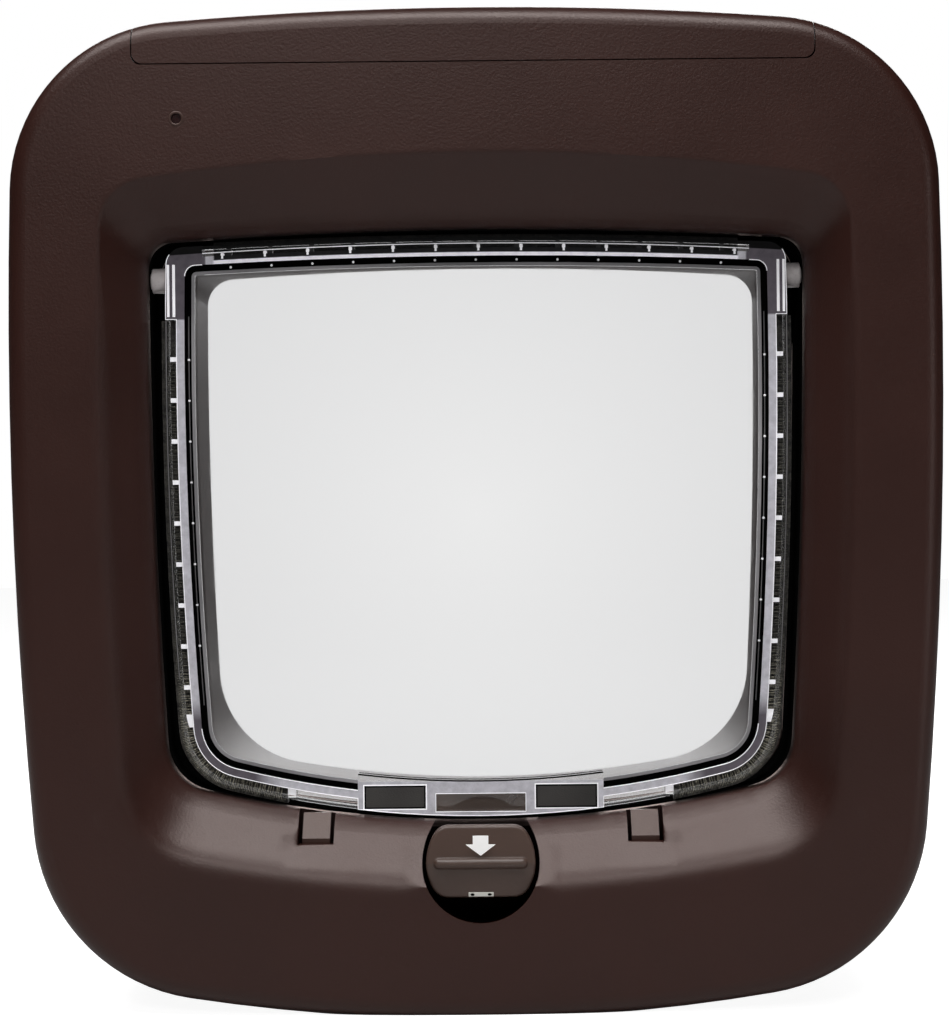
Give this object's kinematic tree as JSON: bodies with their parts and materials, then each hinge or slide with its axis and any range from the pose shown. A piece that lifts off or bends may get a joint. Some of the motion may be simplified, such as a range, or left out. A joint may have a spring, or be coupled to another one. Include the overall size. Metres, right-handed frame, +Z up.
{
  "type": "cat flap",
  "caption": "Electronic cat flap with a dished indoor frame, hinged clear flap with brush edges, lock dial, catches, battery cover, tunnel and outdoor frame.",
  "frame": {"origin": "on the door's indoor face, at the middle of the indoor frame's width and height", "axes": "+X right seen from the room, +Y through the door to outdoors, +Z up"},
  "size_m": [0.2294, 0.112, 0.2483],
  "materials": {
    "brown_plastic": "dark brown moulded plastic with a fine satin texture",
    "dial_plastic": "dark brown moulded plastic, satin",
    "catch_plastic": "brown moulded plastic, satin",
    "clear_plastic": "clear moulded plastic, glossy",
    "brush_pile": "dark grey woven pile strip",
    "magnet_black": "black sintered magnet, matt",
    "copper_wire": "lacquered copper winding",
    "coil_case": "plated steel case",
    "steel": "zinc plated steel",
    "contact_metal": "nickel plated strip",
    "battery_jacket": "plain printed steel jacket",
    "board_green": "green lacquered laminate",
    "lens_red": "dark red moulded lens",
    "switch_black": "black moulded plastic",
    "button_grey": "grey moulded plastic"
  },
  "bodies": {
    "frame": {"indoor_frame": "brown_plastic", "tunnel_liner": "brown_plastic", "outdoor_frame": "brown_plastic", "aerial_coil": "copper_wire", "lock_coil": "coil_case", "battery_1": "battery_jacket", "battery_2": "battery_jacket", "battery_3": "battery_jacket", "battery_4": "battery_jacket", "contact_front_left": "contact_metal", "contact_front_right": "contact_metal", "contact_rear_left": "contact_metal", "contact_rear_right": "contact_metal", "circuit_board": "board_green", "status_light": "lens_red", "learn_switch": "switch_black", "sill_magnet_left": "magnet_black", "sill_magnet_right": "magnet_black", "fixing_screw_1": "steel", "fixing_screw_2": "steel", "fixing_screw_3": "steel", "fixing_screw_4": "steel", "liner_screw_1": "steel", "liner_screw_2": "steel", "liner_screw_3": "steel", "liner_screw_4": "steel"},
    "flap": {"flap": "clear_plastic", "brush_left": "brush_pile", "brush_right": "brush_pile", "brush_top": "brush_pile", "flap_magnet_left": "magnet_black", "flap_magnet_right": "magnet_black"},
    "dial": {"lock_dial": "dial_plastic", "lock_cam": "dial_plastic", "dial_screw": "steel"},
    "lift": {"catch_left": "catch_plastic", "catch_right": "catch_plastic", "lift_bar": "catch_plastic", "lock_plunger": "steel"},
    "cover": {"battery_cover": "brown_plastic"},
    "button": {"learn_button": "button_grey"}
  },
  "joints": [
    {"name": "flap_swing", "type": "hinge", "parent": "frame", "child": "flap", "pos_m": [0, -0.019, 0.0591], "axis": [1, 0, 0], "range_deg": [-85, 85]},
    {"name": "dial_turn", "type": "hinge", "parent": "frame", "child": "dial", "pos_m": [0, -0.03, -0.0858], "axis": [0, 1, 0], "range_deg": [-90, 180]},
    {"name": "catch_lift", "type": "slide", "parent": "frame", "child": "lift", "axis": [0, 0, 1], "range_m": [0, 0.005]},
    {"name": "cover_lift", "type": "slide", "parent": "frame", "child": "cover", "axis": [0, 0, 1], "range_m": [0, 0.03]},
    {"name": "button_press", "type": "slide", "parent": "frame", "child": "button", "axis": [0, 0, -1], "range_m": [0, 0.0012], "stiffness_N_per_m": 500}
  ]
}
